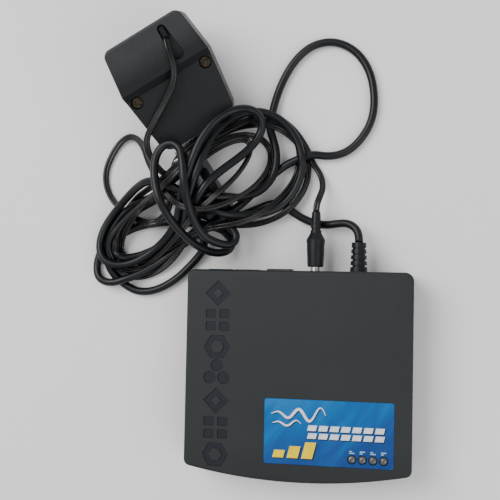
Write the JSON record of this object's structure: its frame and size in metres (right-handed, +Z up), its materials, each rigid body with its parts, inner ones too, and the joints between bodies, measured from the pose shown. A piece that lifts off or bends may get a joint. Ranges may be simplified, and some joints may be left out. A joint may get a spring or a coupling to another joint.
{
  "type": "external dial-up modem",
  "caption": "Small charcoal desktop dial-up modem with a captive serial cable, a plug-in wall adapter and both cords tied in a hank.",
  "frame": {"origin": "bottom centre of the modem body's box, on the surface it stands on", "axes": "+Z up, +Y towards the rear panel with its sockets, +X to the right seen from the front"},
  "size_m": [0.1978, 0.2734, 0.0544],
  "materials": {
    "case_charcoal": "fine spark texture",
    "label_blue": "satin printed film",
    "foot_rubber": "matte",
    "lamp_lens": "clear tinted",
    "board_green": "solder mask",
    "chip_black": "moulded",
    "tin_metal": "satin",
    "dark_steel": "satin",
    "brass_metal": "satin",
    "aluminium_fin": "satin",
    "jack_black": "moulded",
    "nylon_white": "moulded",
    "capacitor_sleeve": "shrunk film",
    "transformer_tape": "polyester tape",
    "copper_wire": "enamelled",
    "core_steel": "stacked sheets",
    "relief_rubber": "satin moulded",
    "cord_pvc": "satin pvc",
    "adapter_charcoal": "fine spark texture",
    "plated_shell": "dull nickel"
  },
  "bodies": {
    "modem": {"top_cover": "case_charcoal", "bottom_case": "case_charcoal", "label_plate": "label_blue", "rubber_feet": "foot_rubber", "hook_lamp": "lamp_lens", "send_lamp": "lamp_lens", "receive_lamp": "lamp_lens", "power_lamp": "lamp_lens", "case_screws": "dark_steel", "circuit_board": "board_green", "board_screws": "tin_metal", "modem_chip": "chip_black", "controller_chip": "chip_black", "memory_chip": "chip_black", "crystal": "tin_metal", "line_transformer": "transformer_tape", "hook_relay": "nylon_white", "capacitors": "capacitor_sleeve", "regulator": "chip_black", "heat_sink": "aluminium_fin", "speaker": "chip_black", "line_jack": "jack_black", "phone_jack": "jack_black", "jack_contacts": "brass_metal", "power_socket": "jack_black", "socket_pin": "tin_metal", "switch_frame": "jack_black", "serial_header": "nylon_white", "header_plug": "nylon_white", "serial_pigtail": "cord_pvc", "serial_strain_relief": "relief_rubber", "plug_grip": "relief_rubber", "plug_sleeve": "tin_metal", "plug_insulator": "chip_black", "adapter_front": "adapter_charcoal", "adapter_back": "adapter_charcoal", "adapter_screws": "brass_metal", "adapter_blades": "tin_metal", "transformer_core": "core_steel", "transformer_spool": "nylon_white", "transformer_winding": "copper_wire", "adapter_grommet": "relief_rubber", "hood_half_near": "relief_rubber", "hood_half_far": "relief_rubber", "connector_shell": "plated_shell", "connector_insert": "chip_black", "serial_lead": "cord_pvc", "serial_loop": "cord_pvc", "serial_low_loop": "cord_pvc", "power_lead": "cord_pvc", "power_tail": "cord_pvc", "power_side_loop": "cord_pvc", "hank_right": "cord_pvc", "hank_waist": "cord_pvc", "hank_left": "cord_pvc"},
    "rocker": {"switch_rocker": "jack_black"},
    "low_screw": {"thumbscrew_low": "dark_steel"},
    "high_screw": {"thumbscrew_high": "dark_steel"}
  },
  "joints": [
    {"name": "power_switch", "type": "hinge", "parent": "modem", "child": "rocker", "pos_m": [-0.012, 0.058, 0.013], "axis": [0, 0, -1], "range_deg": [0, 14]},
    {"name": "low_thumbscrew_turn", "type": "hinge", "parent": "modem", "child": "low_screw", "pos_m": [-0.0679, 0.1247, 0.00401], "axis": [-0.5461, 0.8377, 0], "continuous": true},
    {"name": "high_thumbscrew_turn", "type": "hinge", "parent": "modem", "child": "high_screw", "pos_m": [-0.0679, 0.1247, 0.02899], "axis": [-0.5461, 0.8377, 0], "continuous": true}
  ]
}
